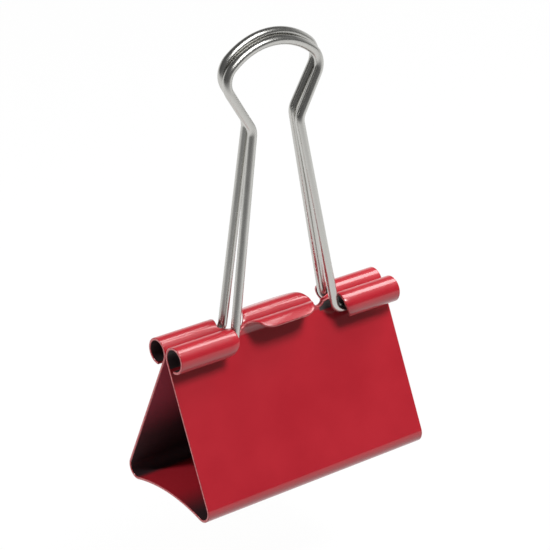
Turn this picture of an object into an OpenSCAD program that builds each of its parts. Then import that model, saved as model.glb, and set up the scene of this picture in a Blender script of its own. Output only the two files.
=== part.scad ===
// Large folding binder clip: a bent spring-steel body with two wire handles.
// X runs along the clip, -Y is the front, +Z points from the spine to the mouth.
// The origin is the middle of the plane the clip stands on, between its two bottom bends.

/* [Body] */
// Length of the body along its barrels
clip_length = 51; // [48:0.5:60]
// Depth of the body across its two bottom bends
base_depth = 25; // [22:0.5:28]
// Height of the body, from the standing plane to the top of the barrels
body_height = 31.9; // [28:0.1:36]
// Thickness of the painted spring steel
sheet_t = 0.5; // [0.4:0.05:0.6]
// Outside diameter of the rolled barrels
barrel_d = 5.1; // [4.8:0.1:5.6]
// Outside radius of the two bottom bends
bend_r = 2.3; // [2:0.1:3]
// How far the middle of the spine bows in towards the mouth
spine_bow = 1.4; // [0.6:0.1:2]
// How far each barrel is rolled round, from facing the other jaw to its free edge
barrel_roll = 275; // [265:1:285]
// Gap between the two jaws when the clip is shut
lip_gap = 0.02; // [0.01:0.01:0.1]

/* [Notches] */
// Centre of the rounded root of each notch, from the middle of the clip
root_x = 9.4; // [9.2:0.1:9.6]
// Radius of each notch's rounded root
root_r = 1; // [0.8:0.05:1]
// Half length of the middle tab at the roots of the notches
tab_root = 7.7; // [7.2:0.1:8]
// Half length of the middle tab above its rounded corners
tab_x = 6.2; // [5.5:0.1:7]
// Length of the tab's rounded corners along the clip
tab_corner = 2.4; // [1.5:0.1:3]
// Depth of the tab's rounded corners
tab_corner_d = 1; // [0.6:0.05:1.2]
// How far the middle tab is rolled round
tab_roll = 146; // [138:1:152]
// Where each barrel of the front jaw starts, from the middle of the clip
front_mouth_x = 12.8; // [12.8:0.05:13.5]
// Where each barrel of the rear jaw starts, from the middle of the clip
rear_mouth_x = 13.2; // [13.2:0.05:13.5]
// How far the mouth of each barrel slants back towards its free edge
mouth_flare = 1.9; // [1:0.1:2.5]

/* [Handles] */
// Diameter of the handle wire
wire_d = 1.75; // [1.6:0.05:1.75]
// Radius of the arch at the top of the loop, to the middle of the wire
arch_r = 14.3; // [13:0.1:16]
// Radius of the two shoulders of the loop, to the middle of the wire
shoulder_r = 3.6; // [3:0.1:4]
// Centre of each shoulder, from the middle of the handle
shoulder_x = 6.7; // [6.2:0.1:7]
// Height of the shoulders' centres above the handle's legs
shoulder_h = 48.1; // [44:0.1:52]
// Half width of the neck, where the two sides would cross without their bend
neck_x = 5.25; // [4.6:0.05:5.6]
// Height of the neck above the handle's legs
neck_h = 38.8; // [36:0.1:40]
// Radius of the bend at the neck, to the middle of the wire
neck_r = 3; // [2:0.5:9]
// Half width between the two sides at the height of the legs
foot_x = 11.9; // [11.8:0.02:11.92]
// Radius of the bend from each side into its leg
foot_r = 1.8; // [1.7:0.05:1.9]
// Where each leg ends inside its barrel, from the middle of the clip
leg_end = 21; // [18:0.5:23]

/* [Resting pose] */
// Lean of the front handle towards the rear
front_lean = 4.25; // [4:0.05:4.25]
// Lean of the rear handle towards the rear
rear_lean = 1.45; // [1.45:0.05:2]
// How far the rear handle has slid to the right along its barrels
rear_slide = 0.4; // [0:0.05:0.4]
// Where the front legs lie in their barrels, [rearward, upward] from the barrels' centre
front_leg_at = [0.15, -0.5];
// Where the rear legs lie in their barrels, [rearward, upward] from the barrels' centre
rear_leg_at = [-0.7, 0.45];

/* [Hidden] */
$fn = 64;
paint = "#b4202f";
plating = "#c9c8c4";

// Body, drawn for the front jaw in the (y, z) plane
barrel_r = barrel_d / 2;
barrel_c = [-(barrel_r + lip_gap / 2), body_height - barrel_r];
bend_c = [-(base_depth / 2 - bend_r), bend_r];
// The wall is the straight line that touches the barrel's outside and the bend's inside.
span = barrel_c - bend_c;
wall_tilt = atan2(span.x, span.y) + asin((barrel_r + bend_r - sheet_t) / norm(span));
wall_out = [-cos(wall_tilt), sin(wall_tilt)];
wall_angle = 180 - wall_tilt;
// The spine is an arc that meets both bends without a kink.
bow_r = (pow(bend_c.x, 2) + pow(spine_bow, 2)) / (2 * spine_bow) - bend_r;
bow_c = [0, spine_bow - bow_r];
bow_angle = 360 + atan2(bow_c.y - bend_c.y, -bend_c.x);

// How far neighbouring stretches of an outline run into each other, so that they join
weld = 0.02;

// The bend is one sheet that flexes. Here it is split into two half-thickness laps that slide
// on each other, so that a jaw can turn about the bend's centre.
jaw_travel = 25;
lap_slack = 1;
lap_gap = 0.01;
lap_r = bend_r - sheet_t / 2;
spine_lap_end = wall_angle + jaw_travel + 2 * lap_slack;
spine_full_from = 250;
jaw_lap_end = spine_full_from - jaw_travel - lap_slack;

// Where the notch's cuts cross, measured from the barrel's axis
cross_z = 1.35;
cut_z = 1;
shoulder_from = 1.4;
// How far the cuts reach past the sheet they cut
cut_past = 1;
cut_under = 0.1;
// How far a barrel runs back into the notch's cut, and back over the tab's roll
barrel_run = 0.5;
roll_overlap = 10;

// Handle, drawn in its own (x, height) plane
plug_step = 0.02;
plug_run = 0.1;
arch_h = shoulder_h - sqrt(pow(arch_r - shoulder_r, 2) - pow(shoulder_x, 2));
arch_end = atan2(shoulder_h - arch_h, shoulder_x);
neck = [neck_x, neck_h];
foot = [foot_x, 0];
to_shoulder = [shoulder_x, shoulder_h] - neck;
shoulder_end = atan2(-to_shoulder.y, -to_shoulder.x) + acos(shoulder_r / norm(to_shoulder));
shoulder_tip = [shoulder_x, shoulder_h] + shoulder_r * heading(shoulder_end);
neck_up = unit(shoulder_tip - neck);
side_down = unit(foot - neck);
neck_half = acos(neck_up * side_down) / 2;
neck_c = neck + unit(neck_up + side_down) * neck_r / sin(neck_half);
neck_from = neck + neck_up * neck_r / tan(neck_half);
neck_to = neck + side_down * neck_r / tan(neck_half);
foot_half = (180 - acos(-side_down.x)) / 2;
foot_reach = foot_r / tan(90 - foot_half);
foot_from = foot - side_down * foot_reach;
foot_to = foot + [foot_reach, 0];
foot_c = foot_to + [0, foot_r];

function heading(a) = [cos(a), sin(a)];
function unit(v) = v / norm(v);
function degrees_for(length, r) = length / r * 180 / PI;
function angle_of(v) = atan2(v.y, v.x);
function arc_points(c, r, from, to, steps = 8) =
    [for (i = [0:steps]) c + r * heading(from + (to - from) * i / steps)];

// A pie slice from one angle to another, large enough to cut a ring of radius r
module slice(c, r, from, to) {
    steps = ceil((to - from) / 30);
    polygon(concat([c], arc_points(c, 2 * r, from, to, steps)));
}

module ring_part(c, r_out, r_in, from, to) {
    intersection() {
        translate(c) difference() {
            circle(r_out);
            circle(r_in);
        }
        slice(c, r_out, from, to);
    }
}

// Turns a (y, z) outline into a solid along X
module along_x(length) {
    rotate([90, 0, 90]) linear_extrude(height = length, center = true) children();
}

// Profile of the front jaw's middle: rolled tab, wall and the inside lap of the bottom bend
module jaw_profile() {
    wall_run = weld * [sin(wall_tilt), cos(wall_tilt)];
    ring_part(barrel_c, barrel_r, barrel_r - sheet_t, -wall_tilt, tab_roll);
    polygon([
        barrel_c - barrel_r * wall_out + wall_run,
        barrel_c - (barrel_r - sheet_t) * wall_out + wall_run,
        bend_c + bend_r * wall_out,
        bend_c + (bend_r - sheet_t) * wall_out
    ]);
    ring_part(bend_c, lap_r - lap_gap, bend_r - sheet_t,
        wall_angle - degrees_for(weld, lap_r), jaw_lap_end);
}

// Half of the spine's profile, with the outside lap of the bottom bend
module half_spine_profile() {
    ring_part(bow_c, bow_r + sheet_t, bow_r, 90 - degrees_for(weld, bow_r),
        bow_angle - 180 + degrees_for(weld, bow_r));
    ring_part(bend_c, bend_r, bend_r - sheet_t, spine_full_from, bow_angle);
    ring_part(bend_c, bend_r, lap_r + lap_gap, spine_lap_end,
        spine_full_from + degrees_for(weld, bend_r));
}

// The curl is notched by three straight cuts, seen from the front, from above and from the front
// again. Where two cuts cross, both have the same straight sides, so they meet without a step.
module notch(mouth_x) {
    root_z = barrel_c.y + root_r;
    above = body_height + cut_past;
    outside = barrel_c.x - barrel_d;
    tab_end = barrel_c.x + barrel_r * cos(tab_roll);
    corner_y = tab_end + tab_corner_d;
    // The inner quarter of the curl, down to the rounded root
    translate([0, cut_past, 0]) rotate([90, 0, 0])
        linear_extrude(height = cut_past - barrel_c.x - shoulder_from / 2) polygon(concat(
            arc_points([root_x, root_z], root_r, 180, 360),
            [[mouth_x, barrel_c.y + cross_z], [mouth_x, above], [tab_root, above],
                [tab_root, barrel_c.y + cross_z]]
        ));
    // The top of the curl, round the tab's corner
    translate([0, 0, barrel_c.y + cut_z]) linear_extrude(height = barrel_d) polygon(concat(
        [[mouth_x, barrel_c.x + shoulder_from], [tab_root, barrel_c.x + shoulder_from],
            [tab_root, barrel_c.x + shoulder_from / 2]],
        [for (a = [0:15:90]) [tab_x - tab_corner * (1 - cos(a)), corner_y - tab_corner_d * sin(a)]],
        [[tab_x - tab_corner, outside], [mouth_x, outside]]
    ));
    // The outside of the curl, slanting back towards the free edge
    translate([0, barrel_c.x + shoulder_from / 2, 0]) rotate([90, 0, 0])
        linear_extrude(height = barrel_d) polygon(concat(
            [for (a = [0:15:90]) [mouth_x + mouth_flare * (1 - cos(a)),
                barrel_c.y - (barrel_r + cut_under) * sin(a)]],
            [[mouth_x - cut_past, barrel_c.y - barrel_r - cut_under],
                [mouth_x - cut_past, barrel_c.y + cross_z], [mouth_x, barrel_c.y + cross_z]]
        ));
}

module jaw(mouth_x) {
    barrel_length = clip_length / 2 - mouth_x + barrel_run;
    difference() {
        union() {
            along_x(clip_length) jaw_profile();
            for (side = [-1, 1]) translate([side * (clip_length - barrel_length) / 2, 0, 0])
                along_x(barrel_length)
                    ring_part(barrel_c, barrel_r, barrel_r - sheet_t, tab_roll - roll_overlap,
                        barrel_roll);
        }
        notch(mouth_x);
        mirror([1, 0, 0]) notch(mouth_x);
    }
}

// A stretch of wire bent to an arc in the handle's plane. A plugged stretch is a hair thinner and
// runs a little way into both its neighbours, so that the stretches join.
module wire_arc(c, r, from, to, plugged = false) {
    run = plugged ? degrees_for(plug_run, r) : 0;
    sweep = (to - from + 360) % 360 + 2 * run;
    translate(c) rotate(from - run) rotate_extrude(angle = sweep) translate([r, 0])
        circle(d = plugged ? wire_d - plug_step : wire_d);
}

// A straight stretch of wire between two points of the handle's plane
module wire_line(from, to) {
    translate(from) rotate(angle_of(to - from)) rotate([0, 90, 0])
        cylinder(d = wire_d, h = norm(to - from));
}

module half_handle() {
    wire_arc([shoulder_x, shoulder_h], shoulder_r, shoulder_end, arch_end, true);
    wire_line(shoulder_tip, neck_from);
    wire_arc(neck_c, neck_r, angle_of(neck_from - neck_c), angle_of(neck_to - neck_c), true);
    wire_line(neck_to, foot_from);
    wire_arc(foot_c, foot_r, angle_of(foot_from - foot_c), -90, true);
    wire_line(foot_to, [leg_end, 0]);
}

// The whole loop, standing straight up from the line of its legs
module handle() {
    rotate([90, 0, 0]) {
        wire_arc([0, arch_h], arch_r, arch_end, 180 - arch_end);
        half_handle();
        mirror([1, 0, 0]) half_handle();
    }
}

module spine() {
    color(paint) along_x(clip_length) {
        half_spine_profile();
        mirror([1, 0]) half_spine_profile();
    }
}

module front_jaw() {
    color(paint) jaw(front_mouth_x);
}

module rear_jaw() {
    color(paint) mirror([0, 1, 0]) jaw(rear_mouth_x);
}

module front_handle() {
    color(plating) translate([0, barrel_c.x + front_leg_at.x, barrel_c.y + front_leg_at.y])
        rotate([-front_lean, 0, 0]) handle();
}

module rear_handle() {
    color(plating) translate([rear_slide, -barrel_c.x + rear_leg_at.x, barrel_c.y + rear_leg_at.y])
        rotate([-rear_lean, 0, 0]) handle();
}

spine();
front_jaw();
rear_jaw();
front_handle();
rear_handle();
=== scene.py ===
from math import acos, asin, atan2, cos, degrees, hypot, pi, radians, sin, sqrt, tan

import bpy
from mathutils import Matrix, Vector


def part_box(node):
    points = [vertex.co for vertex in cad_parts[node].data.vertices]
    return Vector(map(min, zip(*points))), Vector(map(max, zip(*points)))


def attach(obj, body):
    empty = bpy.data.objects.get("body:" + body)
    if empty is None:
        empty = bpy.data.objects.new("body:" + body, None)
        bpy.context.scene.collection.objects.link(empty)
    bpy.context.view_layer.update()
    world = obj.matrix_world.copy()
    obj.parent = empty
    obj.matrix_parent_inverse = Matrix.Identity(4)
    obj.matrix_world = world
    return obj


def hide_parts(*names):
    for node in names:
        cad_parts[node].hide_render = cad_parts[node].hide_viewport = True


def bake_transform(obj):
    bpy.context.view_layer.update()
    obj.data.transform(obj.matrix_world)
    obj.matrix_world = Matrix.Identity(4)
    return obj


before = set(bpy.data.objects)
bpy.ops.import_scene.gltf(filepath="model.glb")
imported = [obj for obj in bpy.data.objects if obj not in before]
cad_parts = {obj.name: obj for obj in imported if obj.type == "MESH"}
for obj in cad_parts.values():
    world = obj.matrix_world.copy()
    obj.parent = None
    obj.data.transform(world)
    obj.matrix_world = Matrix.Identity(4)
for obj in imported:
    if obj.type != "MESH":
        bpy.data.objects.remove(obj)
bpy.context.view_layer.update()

MM = 0.001

# ---------------------------------------------------------------- sizes, in mm and degrees
LENGTH = (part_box("spine")[1].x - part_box("spine")[0].x) / MM
DEPTH = (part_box("spine")[1].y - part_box("spine")[0].y) / MM
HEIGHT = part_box("front_jaw")[1].z / MM
SHEET = 0.5
BARREL_R = 2.55
BEND_R = 2.3
SPINE_BOW = 1.4
LIP_GAP = 0.02
BARREL_ROLL = 275
TAB_ROLL = 146
ROOT_X, ROOT_R = 9.5, 1.0
TAB_X, TAB_FLARE = 6.7, 0.0235
TAB_CORNER, TAB_CORNER_ROLL = 2.3, 26
# The two middle tabs are skewed a little to opposite sides as they roll round.
TAB_SKEW, SKEW_ROLL = {"front_jaw": -0.35, "rear_jaw": 0.35}, 45
FLAP_ROLL, FLAP_STRETCH = 112, 1.15
# Where each jaw's barrels start, and how far their edges dip in above that
MOUTHS = {"front_jaw": (12.8, 0.35), "rear_jaw": (13.2, 0.5)}
MOUTH_RISE, DIP_FROM, DIP_ROLL = 0.1, 50, 50
MOUTH_FLARE, FLARE_FROM, FLARE_ROLL, FLARE_CURVE = 2.6, 150, 125, 1.4
EDGE = 0.1
# Points along an edge's chamfer, as shares of EDGE
CHAMFER = 0.29
# Mesh columns beside a notch and across the tab, and rows on each stretch of the sheet
SIDE_COLS, TAB_COLS = 12, 16
BOW_ROWS, BEND_ROWS, WALL_ROWS, CURL_ROWS, TAB_ROWS, BARREL_ROWS, CORNER_ROWS = 10, 30, 14, 6, 20, 52, 9
ROOT_ROWS = 8
# The inside and bore slots hold red paint darkened as painted shade.
ENAMEL_SLOT, CUT_SLOT, INSIDE_SHADE_SLOT, BORE_SHADE_SLOT = range(4)

WIRE_R = 0.875
ARCH_R, SHOULDER_R, NECK_R, FOOT_R = 14.3, 3.6, 3.0, 1.8
SHOULDER = Vector((6.7, 48.1))
NECK = Vector((5.25, 38.8))
FOOT = Vector((11.9, 0))
LEG_END = 21
# Each handle's slide along X, where its legs lie from the barrels' centre, and its lean
LEGS = {"front_handle": (0, 0.15, -0.5, 4.25), "rear_handle": (0.4, -0.7, 0.45, 1.45)}


def heading(a):
    return Vector((cos(radians(a)), sin(radians(a))))


def angle_of(v):
    return degrees(atan2(v.y, v.x))


# ---------------------------------------------------------------- the bent sheet's section
MID_BARREL = BARREL_R - SHEET / 2
MID_BEND = BEND_R - SHEET / 2
BARREL_C = Vector((-(BARREL_R + LIP_GAP / 2), HEIGHT - BARREL_R))
BEND_C = Vector((-(DEPTH / 2 - BEND_R), BEND_R))
SPAN = BARREL_C - BEND_C
TILT = degrees(atan2(SPAN.x, SPAN.y) + asin((BARREL_R + BEND_R - SHEET) / SPAN.length))
WALL_OUT = Vector((-cos(radians(TILT)), sin(radians(TILT))))
BOW_R = (BEND_C.x ** 2 + SPINE_BOW ** 2) / (2 * SPINE_BOW) - BEND_R
BOW_C = Vector((0, SPINE_BOW - BOW_R))
BOW_TURN = angle_of(BEND_C - BOW_C) - 90
BEND_FROM = 270 + BOW_TURN
WALL_ANGLE = 180 - TILT
WALL_LOW = BEND_C + MID_BEND * WALL_OUT
WALL_HIGH = BARREL_C - MID_BARREL * WALL_OUT
# Where each stretch of the sheet's middle line ends, measured along it from the spine's middle
S_BOW = (BOW_R + SHEET / 2) * radians(BOW_TURN)
S_BEND = S_BOW + MID_BEND * radians(BEND_FROM - WALL_ANGLE)
S_WALL = S_BEND + (WALL_HIGH - WALL_LOW).length
S_ROOT = S_WALL + MID_BARREL * radians(TILT)
# Under the barrels the wall's outer side closes the bore. Inside the barrels and on this strip of wall,
# the red paint is darkened to near black as painted shade.
S_UNDER = S_WALL - 1.4
BORE_X = 13.5


def section(s):
    """The sheet's middle line and its outward normal, as y-z vectors, at a distance s along it."""
    if s <= S_BOW:
        n = -heading(90 + degrees(s / (BOW_R + SHEET / 2)))
        return BOW_C - (BOW_R + SHEET / 2) * n, n
    if s <= S_BEND:
        n = heading(BEND_FROM - degrees((s - S_BOW) / MID_BEND))
        return BEND_C + MID_BEND * n, n
    if s <= S_WALL:
        return WALL_LOW.lerp(WALL_HIGH, (s - S_BEND) / (S_WALL - S_BEND)), WALL_OUT
    roll = degrees((s - S_WALL) / MID_BARREL) - TILT
    n = -heading(roll)
    return BARREL_C - MID_BARREL * n, n


def flap_section(s):
    """As section, but the middle tab runs out straight once it has rolled round far enough."""
    past = s - at_roll(FLAP_ROLL)
    if past <= 0:
        return section(s)
    c, n = section(at_roll(FLAP_ROLL))
    return c + past * FLAP_STRETCH * Vector((n.y, -n.x)), n


def at_roll(roll):
    return S_ROOT + MID_BARREL * radians(roll)


def rounding(k):
    return 1 - sqrt(1 - min(1, max(0, k)) ** 2)


def root_side(u):
    """Half width of a notch's rounded root at a height u above its bottom"""
    return ROOT_R * (1 - rounding(1 - u / ROOT_R))


ROOT_ROLL = degrees(ROOT_R / MID_BARREL)


def tab_side(roll):
    if roll < ROOT_ROLL:
        return ROOT_X - root_side(MID_BARREL * radians(roll))
    taper = min(ROOT_X - ROOT_R, TAB_X + (90 - roll) * TAB_FLARE)
    return taper - TAB_CORNER * rounding((roll - TAB_ROLL + TAB_CORNER_ROLL) / TAB_CORNER_ROLL)


def mouth_side(roll, mouth):
    """Where a barrel starts, from the middle of the clip; its edge dips in a little at the top"""
    if roll < ROOT_ROLL:
        return ROOT_X + root_side(MID_BARREL * radians(roll))
    start, dip = mouth
    rise = min(1, (roll - ROOT_ROLL) * MOUTH_RISE / (start - ROOT_X - ROOT_R))
    side = ROOT_X + ROOT_R + (start - ROOT_X - ROOT_R) * (1 - (1 - rise) ** 2)
    side -= dip * min(1, max(0, roll - DIP_FROM) / DIP_ROLL)
    return side + MOUTH_FLARE * max(0, (roll - FLARE_FROM) / FLARE_ROLL) ** FLARE_CURVE


# ---------------------------------------------------------------- flat pattern of half the body
def steps(a, b, n):
    return [a + (b - a) * i / n for i in range(n)]


def flat_pattern(mouth, skew):
    """Corner points (x, s) and faces of half the body's flat pattern, faces anticlockwise."""
    points, faces, index = [], [], {}

    def point(x, s):
        key = (round(x, 5), round(s, 5))
        if key not in index:
            index[key] = len(points)
            points.append((x, s))
        return index[key]

    def fill(rows):
        for low, high in zip(rows, rows[1:]):
            for a, b, c, d in zip(low, low[1:], high[1:], high):
                faces.append((a, b, c, d))

    end = LENGTH / 2
    # Columns crowd towards the clip's ends.
    spread = [sin(pi / 2 * i / SIDE_COLS) for i in range(SIDE_COLS + 1)]
    root = [ROOT_ROLL * (1 - cos(pi / 2 * i / ROOT_ROWS)) for i in range(ROOT_ROWS)]

    # The spine, the bottom bend, the wall and the start of the curl, full length
    stations = ([0, 0.05] + steps(0.5, S_BOW, BOW_ROWS) + steps(S_BOW, S_BEND, BEND_ROWS)
                + steps(S_BEND, S_UNDER, WALL_ROWS) + steps(S_UNDER, S_WALL, 2)
                + steps(S_WALL, S_ROOT, CURL_ROWS) + [S_ROOT])
    right = [ROOT_X + (end - ROOT_X) * k for k in spread]
    middle = steps(-ROOT_X, ROOT_X, TAB_COLS)
    columns = [-x for x in reversed(right)][:-1] + middle + right
    fill([[point(x, s) for x in columns] for s in stations])
    # The middle tab
    corner_from = TAB_ROLL - TAB_CORNER_ROLL
    rolls = (root + steps(ROOT_ROLL, corner_from, TAB_ROWS)
             + [corner_from + TAB_CORNER_ROLL * sin(pi / 2 * i / CORNER_ROWS)
                for i in range(CORNER_ROWS + 1)])
    fill([[point(tab_side(r) * (2 * i / TAB_COLS - 1) + skew * min(1, r / SKEW_ROLL), at_roll(r))
           for i in range(TAB_COLS + 1)] for r in rolls])
    # The two barrels
    rolls = root + steps(ROOT_ROLL, BARREL_ROLL, BARREL_ROWS) + [BARREL_ROLL]
    for side in (1, -1):
        rows = []
        for r in rolls:
            start = mouth_side(r, mouth)
            row = [point(side * (start + (end - start) * k), at_roll(r)) for k in spread]
            rows.append(row if side == 1 else row[::-1])
        fill(rows)
    return points, faces


def half_body(name, side, mouth, skew):
    """A closed sheet with softened edges, bent from the flat pattern. side is -1 for the front."""
    points, faces = flat_pattern(mouth, skew)
    edges = {e for f in faces for e in zip(f, f[1:] + f[:1])}
    rim = {a: b for a, b in sorted(edges) if (b, a) not in edges}
    before = {b: a for a, b in rim.items()}

    def inward(a, b):
        (xa, sa), (xb, sb) = points[a], points[b]
        if sa == 0 and sb == 0:
            return None  # the cut at the spine's middle, where the two halves meet
        d = hypot(xb - xa, sb - sa)
        return Vector((-(sb - sa) / d, (xb - xa) / d))

    def inset(i):
        n = [v for v in (inward(before[i], i), inward(i, rim[i])) if v]
        if not n:
            return Vector((0, 0))
        m = (n[0] + n[-1]).normalized()
        m = m / max(0.6, m.dot(n[0]))
        return Vector((m.x, 0)) if points[i][1] == 0 else m

    coords = []

    def vertex(x, s, out):
        c, n = flap_section(s) if abs(x) < ROOT_X else section(s)
        p = c + n * out
        coords.append((x * MM, p.x * MM * -side, p.y * MM))
        return len(coords) - 1

    half = SHEET / 2
    outer, inner, rings = {}, {}, {}
    for i, (x, s) in enumerate(points):
        if i not in rim:
            outer[i], inner[i] = vertex(x, s, half), vertex(x, s, -half)
            continue
        m = inset(i)
        near = CHAMFER * EDGE
        profile = [(EDGE, half), (near, half - near), (0, half - EDGE),
                   (0, EDGE - half), (near, near - half), (EDGE, -half)]
        if m.length == 0:
            profile = [(0, half), (0, -half)]
        ring = [vertex(x + m.x * k, s + m.y * k, out) for k, out in profile]
        outer[i], inner[i], rings[i] = ring[0], ring[-1], ring
    quads, slots = [], []
    for f in faces:
        x, s = (sum(points[i][k] for i in f) / 4 for k in (0, 1))
        quads += [tuple(outer[i] for i in f), tuple(inner[i] for i in reversed(f))]
        # The wall's outer side becomes the bore of the barrel, and its inner side the outside.
        # Bore faces, and the wall's outer side just under the barrels, get near-black painted shade.
        # Inner faces below the barrels get the inside's painted shade.
        in_bore_shade = s > S_WALL and abs(x) > ROOT_X or s > S_UNDER and abs(x) > BORE_X
        slots += [BORE_SHADE_SLOT if in_bore_shade else ENAMEL_SLOT, INSIDE_SHADE_SLOT if s < S_WALL else ENAMEL_SLOT]
    for a, b in rim.items():
        ra, rb = rings[a], rings[b]
        if inward(a, b) is None:
            quads.append(tuple(ra + rb[::-1]))
            slots.append(ENAMEL_SLOT)
            continue
        for k in range(len(ra) - 1):
            quads.append((ra[k], ra[k + 1], rb[k + 1], rb[k]))
            slots.append(CUT_SLOT if k == 2 else ENAMEL_SLOT)
    if side == 1:
        quads = [tuple(reversed(q)) for q in quads]
    return mesh_piece(name, coords, quads, slots)


def mesh_piece(name, coords, polygons, slots=None):
    mesh = bpy.data.meshes.new(name)
    mesh.from_pydata(coords, [], polygons)
    if slots:
        mesh.polygons.foreach_set("material_index", slots)
    mesh.polygons.foreach_set("use_smooth", [True] * len(mesh.polygons))
    mesh.validate()
    mesh.update()
    mesh.set_sharp_from_angle(angle=radians(50))
    obj = bpy.data.objects.new(name, mesh)
    bpy.context.scene.collection.objects.link(obj)
    return obj


# ---------------------------------------------------------------- the wire handles
def wire_path():
    """Middle of the wire in the handle's plane, from its left end to its right end."""
    arch_h = SHOULDER.y - sqrt((ARCH_R - SHOULDER_R) ** 2 - SHOULDER.x ** 2)
    arch_end = degrees(atan2(SHOULDER.y - arch_h, SHOULDER.x))
    to_shoulder = SHOULDER - NECK
    shoulder_end = angle_of(-to_shoulder) + degrees(acos(SHOULDER_R / to_shoulder.length))
    tip = SHOULDER + SHOULDER_R * heading(shoulder_end)
    up, down = (tip - NECK).normalized(), (FOOT - NECK).normalized()
    half = acos(up.dot(down)) / 2
    neck_c = NECK + (up + down).normalized() * NECK_R / sin(half)
    neck_from, neck_to = NECK + up * NECK_R / tan(half), NECK + down * NECK_R / tan(half)
    foot_half = (pi - acos(-down.x)) / 2
    reach = FOOT_R * tan(foot_half)
    foot_from, foot_to = FOOT - down * reach, FOOT + Vector((reach, 0))
    foot_c = foot_to + Vector((0, FOOT_R))

    def arc(c, r, a, b, n):
        return [c + r * heading(a + (b - a) * i / n) for i in range(n + 1)]

    n_from, n_to = angle_of(neck_from - neck_c), angle_of(neck_to - neck_c)
    right = (arc(Vector((0, arch_h)), ARCH_R, 90, arch_end, 14)
             + arc(SHOULDER, SHOULDER_R, arch_end, shoulder_end, 18)[1:]
             + arc(neck_c, NECK_R, n_from, n_to + 360 * (n_to < 0), 12)
             + arc(foot_c, FOOT_R, angle_of(foot_from - foot_c), -90, 14)
             + [Vector((LEG_END, 0))])
    left = [Vector((-p.x, p.y)) for p in reversed(right[1:])]
    return left + right


def handle_piece(name, node):
    slide, rearward, upward, lean = LEGS[node]
    side = -1 if node.startswith("front") else 1
    pivot = Vector((slide, side * -BARREL_C.x + rearward, BARREL_C.y + upward))
    rise = Vector((0, sin(radians(lean)), cos(radians(lean))))
    across = Vector((0, cos(radians(lean)), -sin(radians(lean))))
    path = wire_path()
    around, coords, polygons = 32, [], []
    # Each end of the wire is cut off square with a small rounded edge.
    chamfer = [(0.0, 0.86), (0.07, 0.96), (0.18, 1.0)]
    rings = []
    for i, p in enumerate(path):
        ahead = path[min(i + 1, len(path) - 1)] - path[max(i - 1, 0)]
        ahead.normalize()
        rings.append((p, Vector((-ahead.y, ahead.x)), 1.0))
    first, last = rings[0], rings[-1]
    rings = ([(first[0] + Vector((d, 0)), first[1], k) for d, k in chamfer]
             + rings[1:-1]
             + [(last[0] - Vector((d, 0)), last[1], k) for d, k in reversed(chamfer)])
    for p, normal, k in rings:
        for j in range(around):
            a = 2 * pi * j / around
            flat = p + normal * (WIRE_R * k * cos(a))
            q = pivot + Vector((flat.x, 0, 0)) + rise * flat.y + across * (WIRE_R * k * sin(a))
            coords.append(tuple(q * MM))
    for i in range(len(rings) - 1):
        for j in range(around):
            a, b = i * around + j, i * around + (j + 1) % around
            polygons.append((b, a, a + around, b + around))
    polygons.append(tuple(range(around)))
    polygons.append(tuple(reversed(range(len(coords) - around, len(coords)))))
    return mesh_piece(name, coords, polygons)


# ---------------------------------------------------------------- materials
def material(name):
    m = bpy.data.materials.new(name)
    m.use_nodes = True
    nodes, links = m.node_tree.nodes, m.node_tree.links
    return m, nodes, links, nodes["Principled BSDF"]


def colour_noise(nodes, links, socket, low, high, scale, stretch=(1, 1, 1), detail=4):
    """Drives a colour socket with noise between two colours, in object space."""
    where = nodes.new("ShaderNodeTexCoord")
    mapping = nodes.new("ShaderNodeMapping")
    mapping.inputs["Scale"].default_value = stretch
    noise = nodes.new("ShaderNodeTexNoise")
    noise.inputs["Scale"].default_value = scale
    noise.inputs["Detail"].default_value = detail
    ramp = nodes.new("ShaderNodeValToRGB")
    ramp.color_ramp.elements[0].position, ramp.color_ramp.elements[1].position = 0.35, 0.65
    ramp.color_ramp.elements[0].color = (*low, 1)
    ramp.color_ramp.elements[1].color = (*high, 1)
    links.new(where.outputs["Object"], mapping.inputs["Vector"])
    links.new(mapping.outputs["Vector"], noise.inputs["Vector"])
    links.new(noise.outputs["Fac"], ramp.inputs["Fac"])
    links.new(ramp.outputs["Color"], socket)
    return noise


def graded(nodes, links, socket, low, high, to_low=0.0, to_high=1.0, smooth=True):
    """Turns a value between low and high into one between to_low and to_high."""
    node = nodes.new("ShaderNodeMapRange")
    node.interpolation_type = "SMOOTHSTEP" if smooth else "LINEAR"
    for name, value in zip(("From Min", "From Max", "To Min", "To Max"),
                           (low, high, to_low, to_high)):
        node.inputs[name].default_value = value
    links.new(socket, node.inputs["Value"])
    return node.outputs["Result"]


def value_noise(nodes, links, noise, socket, low, high):
    links.new(graded(nodes, links, noise.outputs["Fac"], 0.3, 0.7, low, high, False), socket)


def fine_bump(nodes, links, shader, noise, strength, height):
    bump = nodes.new("ShaderNodeBump")
    bump.inputs["Strength"].default_value = strength
    bump.inputs["Distance"].default_value = height
    links.new(noise.outputs["Fac"], bump.inputs["Height"])
    links.new(bump.outputs["Normal"], shader.inputs["Normal"])


def enamel():
    m, nodes, links, shader = material("red_enamel")
    noise = colour_noise(nodes, links, shader.inputs["Base Color"],
                         (0.36, 0.004, 0.014), (0.40, 0.006, 0.017), 90)
    value_noise(nodes, links, noise, shader.inputs["Roughness"], 0.36, 0.42)
    shader.inputs["Specular IOR Level"].default_value = 0.35
    shader.inputs["Coat Weight"].default_value = 0.9
    shader.inputs["Coat Roughness"].default_value = 0.13
    fine = nodes.new("ShaderNodeTexNoise")
    fine.inputs["Scale"].default_value = 900
    fine_bump(nodes, links, shader, fine, 0.25, 0.00002)
    return m


def math_node(nodes, links, operation, first, *values):
    node = nodes.new("ShaderNodeMath")
    node.operation = operation
    for socket, value in zip(node.inputs, (first,) + values):
        if isinstance(value, (int, float)):
            socket.default_value = value
        else:
            links.new(value, socket)
    return node.outputs["Value"]


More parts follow.
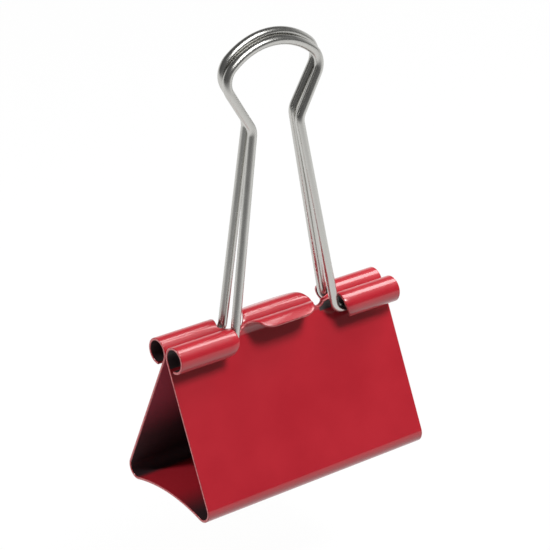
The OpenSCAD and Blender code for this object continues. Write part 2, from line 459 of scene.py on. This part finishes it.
def inside():
    """Red paint inside the body, darkened as painted shade: darkest round the bottom bends, red higher
    up and on the spine's crest
    """
    m, nodes, links, shader = material("inside_painted_shade")
    where = nodes.new("ShaderNodeTexCoord")
    split = nodes.new("ShaderNodeSeparateXYZ")
    links.new(where.outputs["Object"], split.inputs["Vector"])
    noise = nodes.new("ShaderNodeTexNoise")
    noise.inputs["Scale"].default_value, noise.inputs["Detail"].default_value = 60, 1
    # The edge of the painted shade wanders a little with noise.
    shade_edge_z = math_node(nodes, links, "MULTIPLY_ADD", noise.outputs["Fac"], 0.003,
                         split.outputs["Z"])
    # Painted shade: near black low down, the red paint from higher up.
    ramp = nodes.new("ShaderNodeValToRGB")
    stops = ramp.color_ramp.elements
    stops[0].color, stops[1].color = (0.05, 0.028, 0.032, 1), (0.5, 0.08, 0.12, 1)
    links.new(graded(nodes, links, shade_edge_z, 0.009, 0.022), ramp.inputs["Fac"])
    # On the spine's crest, where the left lamp falls, the painted shade gives way to red paint.
    crest = math_node(nodes, links, "MULTIPLY",
                      graded(nodes, links, split.outputs["Y"], -0.009, -0.001),
                      graded(nodes, links, split.outputs["Y"], 0.0105, 0.008))
    low_down = math_node(nodes, links, "LESS_THAN", split.outputs["Z"], 0.006)
    mix = nodes.new("ShaderNodeMix")
    mix.data_type = "RGBA"
    links.new(math_node(nodes, links, "MULTIPLY", low_down, crest), mix.inputs["Factor"])
    links.new(ramp.outputs["Color"], mix.inputs["A"])
    mix.inputs["B"].default_value = (0.55, 0.02, 0.035, 1)
    links.new(mix.outputs["Result"], shader.inputs["Base Color"])
    value_noise(nodes, links, noise, shader.inputs["Roughness"], 0.4, 0.5)
    return m


# Near-black paint for the bores: painted shade where the red sheet lies in the dark.
def bore():
    m, nodes, links, shader = material("bore_painted_shade")
    noise = colour_noise(nodes, links, shader.inputs["Base Color"],
                         (0.045, 0.03, 0.032), (0.065, 0.04, 0.044), 300)
    value_noise(nodes, links, noise, shader.inputs["Roughness"], 0.4, 0.5)
    return m


def cut_edge():
    m, nodes, links, shader = material("cut_edge")
    noise = colour_noise(nodes, links, shader.inputs["Base Color"],
                         (0.42, 0.06, 0.07), (0.62, 0.22, 0.22), 700, (1, 3, 3))
    value_noise(nodes, links, noise, shader.inputs["Roughness"], 0.3, 0.5)
    shader.inputs["Metallic"].default_value = 0.35
    return m


def plating():
    m, nodes, links, shader = material("nickel_plate")
    noise = colour_noise(nodes, links, shader.inputs["Base Color"],
                         (0.52, 0.515, 0.49), (0.55, 0.545, 0.52), 260, (6, 6, 1))
    value_noise(nodes, links, noise, shader.inputs["Roughness"], 0.24, 0.28)
    shader.inputs["Metallic"].default_value = 1.0
    fine_bump(nodes, links, shader, noise, 0.02, 0.00001)
    return m


RED, CUT, INSIDE_SHADE, BORE_SHADE, NICKEL = enamel(), cut_edge(), inside(), bore(), plating()

# ---------------------------------------------------------------- build the object
painted, plated = bpy.data.collections.new("painted"), bpy.data.collections.new("plated")
for name, jaw, side in (("body_front", "front_jaw", -1), ("body_rear", "rear_jaw", 1)):
    sheet = half_body(name, side, MOUTHS[jaw], TAB_SKEW[jaw])
    for finish in (RED, CUT, INSIDE_SHADE, BORE_SHADE):
        sheet.data.materials.append(finish)
    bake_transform(sheet)
    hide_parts(*(("spine", jaw) if side == -1 else (jaw,)))
    painted.objects.link(sheet)

for node in LEGS:
    wire = handle_piece(node + "_wire", node)
    wire.data.materials.append(NICKEL)
    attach(wire, node)
    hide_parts(node)
    plated.objects.link(wire)

# ---------------------------------------------------------------- floor, light and camera
# The floor lies below the folded handles, which reach further down than the clip's base.
FLOOR_HALF, FLOOR_Z = 3.0, -0.027
# Level, straight away from the camera
BEHIND = Vector((0.617, 0.787, 0))


def along(nodes, links, socket, direction):
    """How far a vector socket reaches along a direction"""
    node = nodes.new("ShaderNodeVectorMath")
    node.operation = "DOT_PRODUCT"
    node.inputs[1].default_value = direction
    links.new(socket, node.inputs[0])
    return node.outputs["Value"]


def floor():
    mesh = bpy.data.meshes.new("floor")
    h = FLOOR_HALF
    mesh.from_pydata([(-h, -h, 0), (h, -h, 0), (h, h, 0), (-h, h, 0)], [], [(0, 1, 2, 3)])
    obj = bpy.data.objects.new("floor", mesh)
    bpy.context.scene.collection.objects.link(obj)
    obj.location.z = FLOOR_Z
    m, nodes, links, shader = material("pale_floor")
    colour_noise(nodes, links, shader.inputs["Base Color"], (0.86, 0.86, 0.86),
                 (0.88, 0.88, 0.88), 3)
    shader.inputs["Roughness"].default_value = 0.9
    # White to the camera. To reflections it darkens in front of the object, as a real sweep does,
    # and it gives back only part of its light to matt surfaces.
    glow = nodes.new("ShaderNodeEmission")
    path = nodes.new("ShaderNodeLightPath")
    where = nodes.new("ShaderNodeNewGeometry")
    nearer = along(nodes, links, where.outputs["Position"], -BEHIND)
    fade = graded(nodes, links, nearer, 0.12, 0.5, 1.0, 0.3, False)
    soft = math_node(nodes, links, "MULTIPLY_ADD", path.outputs["Is Diffuse Ray"], -0.65, 1.0)
    bounced = math_node(nodes, links, "MULTIPLY", fade, soft)
    links.new(math_node(nodes, links, "MAXIMUM", path.outputs["Is Camera Ray"], bounced),
              glow.inputs["Strength"])
    mix = nodes.new("ShaderNodeMixShader")
    mix.inputs["Fac"].default_value = 0.96
    out = nodes["Material Output"]
    links.new(shader.outputs["BSDF"], mix.inputs[1])
    links.new(glow.outputs["Emission"], mix.inputs[2])
    links.new(mix.outputs["Shader"], out.inputs["Surface"])
    mesh.materials.append(m)
    painted.objects.link(obj)


def studio():
    """White to the camera. In reflections a bright sweep stands low behind a dark room."""
    world = bpy.data.worlds.new("studio")
    bpy.context.scene.world = world
    world.use_nodes = True
    nodes, links = world.node_tree.nodes, world.node_tree.links
    nodes.clear()
    where = nodes.new("ShaderNodeTexCoord").outputs["Generated"]
    behind = graded(nodes, links, along(nodes, links, where, BEHIND), 0.0, 0.5)
    low_down = graded(nodes, links, along(nodes, links, where, (0, 0, -1)), -0.55, -0.2)
    level = graded(nodes, links, math_node(nodes, links, "MULTIPLY", behind, low_down),
                   0.0, 1.0, 0.12, 0.95, False)
    sky, seen = nodes.new("ShaderNodeBackground"), nodes.new("ShaderNodeBackground")
    links.new(level, sky.inputs["Strength"])
    sky.inputs["Color"].default_value = (1, 1, 1, 1)
    seen.inputs["Color"].default_value = (1, 1, 1, 1)
    path = nodes.new("ShaderNodeLightPath")
    mix = nodes.new("ShaderNodeMixShader")
    out = nodes.new("ShaderNodeOutputWorld")
    links.new(path.outputs["Is Camera Ray"], mix.inputs["Fac"])
    links.new(sky.outputs["Background"], mix.inputs[1])
    links.new(seen.outputs["Background"], mix.inputs[2])
    links.new(mix.outputs["Shader"], out.inputs["Surface"])


floor()
studio()
MIDDLE = Vector((0, 0, 0.03))


def softbox(name, direction, distance, size, power, receivers):
    """An area light that faces the clip and lights only the objects in one collection"""
    data = bpy.data.lights.new(name, "AREA")
    data.shape, data.size, data.size_y, data.energy = "RECTANGLE", *size, power
    light = bpy.data.objects.new(name, data)
    bpy.context.scene.collection.objects.link(light)
    direction = Vector(direction).normalized()
    light.location = MIDDLE + direction * distance
    light.rotation_euler = (-direction).to_track_quat("-Z", "Y").to_euler()
    light.light_linking.receiver_collection = receivers


# Bare metal mirrors the boxes far more brightly than enamel does, so it has a larger, dimmer one.
TO_KEY = (0.15, -0.5, 0.84)
softbox("key", TO_KEY, 0.6, (0.19, 0.19), 3.9, painted)
softbox("right", (0.56, 0.0, 0.83), 0.6, (0.26, 0.34), 2.2, painted)
softbox("left", (-0.75, 0.3, 0.42), 0.5, (0.10, 0.10), 1.2, painted)
softbox("wire_key", TO_KEY, 0.6, (0.36, 0.36), 2.2, plated)

AZIMUTH, ELEVATION, DISTANCE = -38.1, 24.1, 0.4226
AIM = Vector((-0.00061, 0, 0.03841))
# From the clip towards the camera
back = Vector((sin(radians(AZIMUTH)) * cos(radians(ELEVATION)),
               -cos(radians(AZIMUTH)) * cos(radians(ELEVATION)), sin(radians(ELEVATION))))
camera = bpy.data.objects.new("camera", bpy.data.cameras.new("camera"))
bpy.context.scene.collection.objects.link(camera)
camera.location = AIM + back * DISTANCE
camera.rotation_mode = "QUATERNION"
camera.rotation_quaternion = (-back).to_track_quat("-Z", "Y")
camera.data.sensor_width, camera.data.lens = 36, 151.1
camera.data.clip_start, camera.data.clip_end = 0.01, 20
bpy.context.scene.camera = camera
bpy.context.scene.view_settings.view_transform = "Standard"
